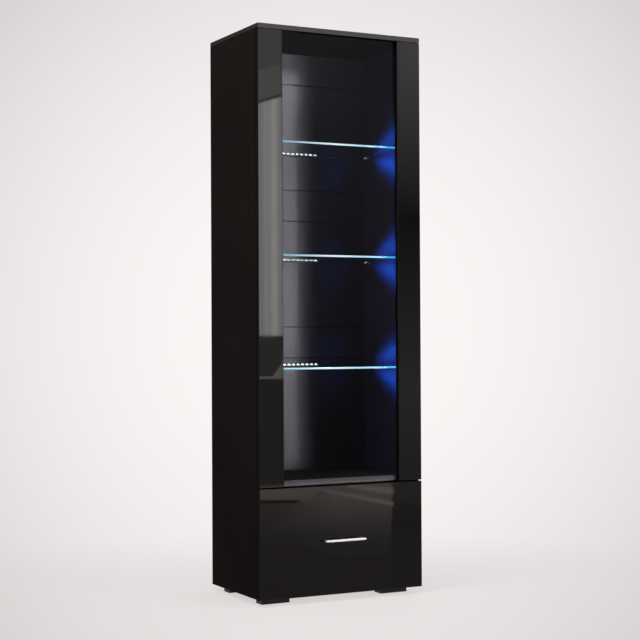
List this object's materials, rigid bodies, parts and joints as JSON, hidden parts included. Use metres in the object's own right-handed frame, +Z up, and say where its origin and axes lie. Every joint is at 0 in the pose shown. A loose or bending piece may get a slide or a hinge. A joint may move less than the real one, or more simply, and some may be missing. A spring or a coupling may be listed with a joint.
{
  "type": "china cabinet",
  "caption": "Tall black display cabinet with a glass door between gloss stiles, lit glass shelves and a deep drawer below.",
  "frame": {"origin": "centre of the bounding box at floor level", "axes": "+Z up, -Y towards the front, +X towards the hinge side of the door"},
  "size_m": [0.6, 0.407, 1.866],
  "materials": {
    "laminate": "matte black melamine face",
    "gloss_front": "high-gloss black face",
    "back_board": "satin black fibreboard",
    "drawer_board": "matte dark grey melamine face",
    "foot_plastic": "matte",
    "pane_glass": "clear float glass",
    "shelf_glass": "clear float glass, polished edges",
    "lamp_bar": "black anodised",
    "lamp_lens": "clear lens, lit",
    "lead_sheath": "matte",
    "black_plastic": "satin",
    "grey_plastic": "satin",
    "bumper_rubber": "soft",
    "zinc_steel": "zinc plated",
    "nickel_steel": "nickel plated",
    "handle_metal": "satin chrome",
    "dowel_beech": "bare beech"
  },
  "bodies": {
    "carcass": {"side_panel_left": "laminate", "side_panel_right": "laminate", "top_panel": "laminate", "bottom_panel": "laminate", "divider_panel": "laminate", "back_rails": "back_board", "back_panel_upper": "back_board", "back_panel_middle": "back_board", "back_panel_lower": "back_board", "back_panel_drawer": "back_board", "foot_front_left": "foot_plastic", "foot_front_right": "foot_plastic", "foot_rear_left": "foot_plastic", "foot_rear_right": "foot_plastic", "glass_shelf_lower": "shelf_glass", "glass_shelf_middle": "shelf_glass", "glass_shelf_upper": "shelf_glass", "lamp_bar_lower": "lamp_bar", "lamp_bar_middle": "lamp_bar", "lamp_bar_upper": "lamp_bar", "lamp_lenses": "lamp_lens", "lamp_leads": "lead_sheath", "lamp_inlet": "black_plastic", "latch_housing": "black_plastic", "foot_screws": "zinc_steel", "fitting_screws": "zinc_steel", "cam_bolts": "zinc_steel", "cam_locks": "zinc_steel", "shelf_pins": "zinc_steel", "runner_outer_left": "zinc_steel", "runner_outer_right": "zinc_steel", "hinge_plates": "nickel_steel", "hinge_arms": "nickel_steel", "joint_dowels": "dowel_beech"},
    "door": {"door_stile_left": "gloss_front", "door_stile_right": "gloss_front", "door_glass": "pane_glass", "glazing_bead_left": "black_plastic", "glazing_bead_right": "black_plastic", "hinge_cups": "nickel_steel", "hinge_pins": "nickel_steel", "hinge_cup_screws": "zinc_steel", "latch_strike": "zinc_steel", "door_bumpers": "bumper_rubber"},
    "drawer": {"drawer_front": "gloss_front", "drawer_side_left": "drawer_board", "drawer_side_right": "drawer_board", "drawer_back": "drawer_board", "drawer_bottom": "drawer_board", "drawer_cam_bolts": "zinc_steel", "drawer_cam_locks": "zinc_steel", "drawer_screws": "zinc_steel", "handle": "handle_metal", "handle_screws": "zinc_steel", "runner_inner_left": "zinc_steel", "runner_inner_right": "zinc_steel"},
    "runner_slides": {"runner_middle_left": "zinc_steel", "runner_middle_right": "zinc_steel", "runner_balls": "zinc_steel"},
    "latch": {"latch_plunger": "grey_plastic"}
  },
  "joints": [
    {"name": "door_hinge", "type": "hinge", "parent": "carcass", "child": "door", "pos_m": [0.293, -0.1705, 1.1135], "axis": [0, 0, 1], "range_deg": [0, 95]},
    {"name": "drawer_slide", "type": "slide", "parent": "carcass", "child": "drawer", "axis": [0, -1, 0], "range_m": [0, 0.28]},
    {"name": "runner_slide", "type": "slide", "parent": "carcass", "child": "runner_slides", "axis": [0, -1, 0], "range_m": [0, 0.14]},
    {"name": "latch_press", "type": "slide", "parent": "carcass", "child": "latch", "axis": [0, 1, 0], "range_m": [0, 0.0025], "stiffness_N_per_m": 300, "springref_m": -0.003}
  ],
  "couplings": [
    {"joint": "runner_slide", "follows": "drawer_slide", "ratio": 0.5}
  ]
}
